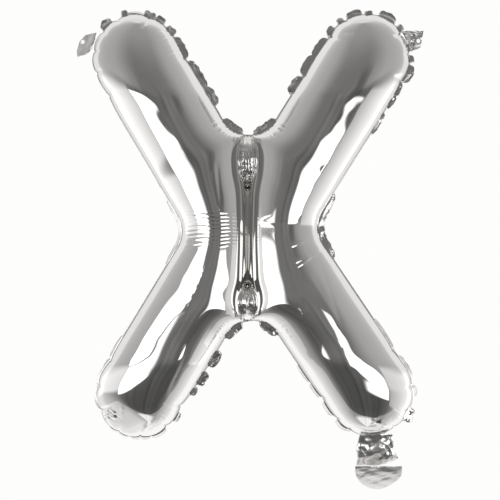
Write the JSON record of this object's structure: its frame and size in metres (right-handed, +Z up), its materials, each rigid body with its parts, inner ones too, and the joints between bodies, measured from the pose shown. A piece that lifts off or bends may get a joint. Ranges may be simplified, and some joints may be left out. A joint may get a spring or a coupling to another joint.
{
  "type": "inflated foil letter balloon",
  "caption": "Inflated silver foil letter X with a welded seam flange, two centre welds, hanging tabs at its upper ends and a fill valve below.",
  "frame": {"origin": "midway between the holes of the two hanging tabs, on the string that holds the letter up in the air, in the plane of the seam", "axes": "+Z up the letter, +X to the right as the letter is read, +Y from the letter's front to its back"},
  "size_m": [0.2852, 0.074, 0.3967],
  "materials": {
    "foil": "polished",
    "seam": "satin",
    "tab": "satin",
    "valve": "polished"
  },
  "bodies": {
    "root": {"front_foil": "foil", "back_foil": "foil", "seam_flange": "seam", "upper_centre_weld": "seam", "lower_centre_weld": "seam", "hanging_tab_left": "tab", "hanging_tab_right": "tab", "valve_neck": "valve", "valve_tail": "valve"}
  },
  "joints": []
}
